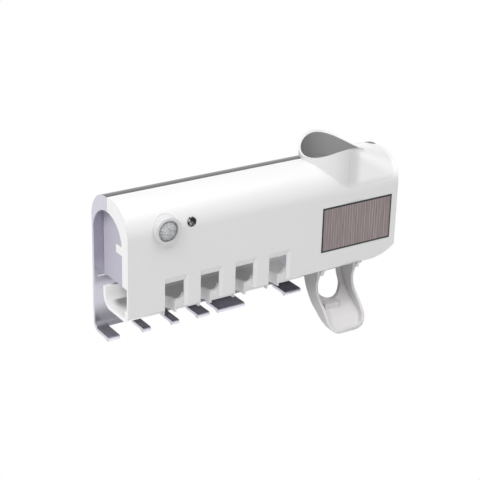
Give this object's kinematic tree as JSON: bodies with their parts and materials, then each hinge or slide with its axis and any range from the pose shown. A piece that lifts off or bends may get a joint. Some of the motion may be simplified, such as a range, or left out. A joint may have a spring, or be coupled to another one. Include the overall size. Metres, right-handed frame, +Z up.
{
  "type": "toothpaste dispenser",
  "caption": "Wall-hung toothbrush holder with a round tower for a toothpaste tube, a squeeze lever under it, brush windows, hanging tongues and a solar panel.",
  "frame": {"origin": "centre of the adhesive pad's wall face", "axes": "+X to the right along the housing as seen from the front, +Y into the wall, +Z up"},
  "size_m": [0.26, 0.069, 0.163],
  "materials": {
    "white_gloss": "smooth white moulding",
    "silver": "bright silver plated moulding",
    "panel": "pale lavender grey",
    "inner_white": "plain white inner moulding",
    "lens": "milky moulded lens",
    "dark_eye": "polished black",
    "solar": "ruled cell strips under clear resin",
    "rubber": "soft grey",
    "steel": "plain bright steel",
    "board": "green laminate",
    "cell": "wrapped can",
    "holder": "black moulding",
    "lamp": "small clear domes",
    "clear": "clear strip",
    "foam": "foam tape"
  },
  "bodies": {
    "housing": {"wall_plate": "silver", "front_cover": "white_gloss", "end_panel": "panel", "divider": "inner_white", "brush_rack": "white_gloss", "pir_bezel": "white_gloss", "pir_lens": "lens", "pir_sensor": "steel", "light_sensor": "dark_eye", "control_board": "board", "battery_cell": "cell", "battery_holder": "holder", "lamp_board": "board", "uv_lamps": "lamp", "lamp_cover": "clear", "solar_panel": "solar", "funnel": "inner_white", "tube_seal": "rubber", "pump_cylinder": "inner_white", "inlet_valve": "rubber", "return_spring": "steel", "lever_pins": "steel", "adhesive_pad": "foam", "cover_screws": "steel"},
    "lever": {"squeeze_lever": "white_gloss"},
    "plunger": {"pump_plunger": "steel", "piston_ring": "rubber", "outlet_valve": "rubber"}
  },
  "joints": [
    {"name": "lever_press", "type": "hinge", "parent": "housing", "child": "lever", "pos_m": [0.0785, -0.0435, -0.029], "axis": [1, 0, 0], "range_deg": [0, 22], "stiffness_Nm_per_rad": 0.05, "springref_deg": -17.19},
    {"name": "plunger_slide", "type": "slide", "parent": "housing", "child": "plunger", "axis": [0, 0, 1], "range_m": [0, 0.0043], "deforming": ["return_spring"]}
  ],
  "couplings": [
    {"joint": "lever_press", "follows": "plunger_slide", "rad_per_m": 86.957}
  ]
}
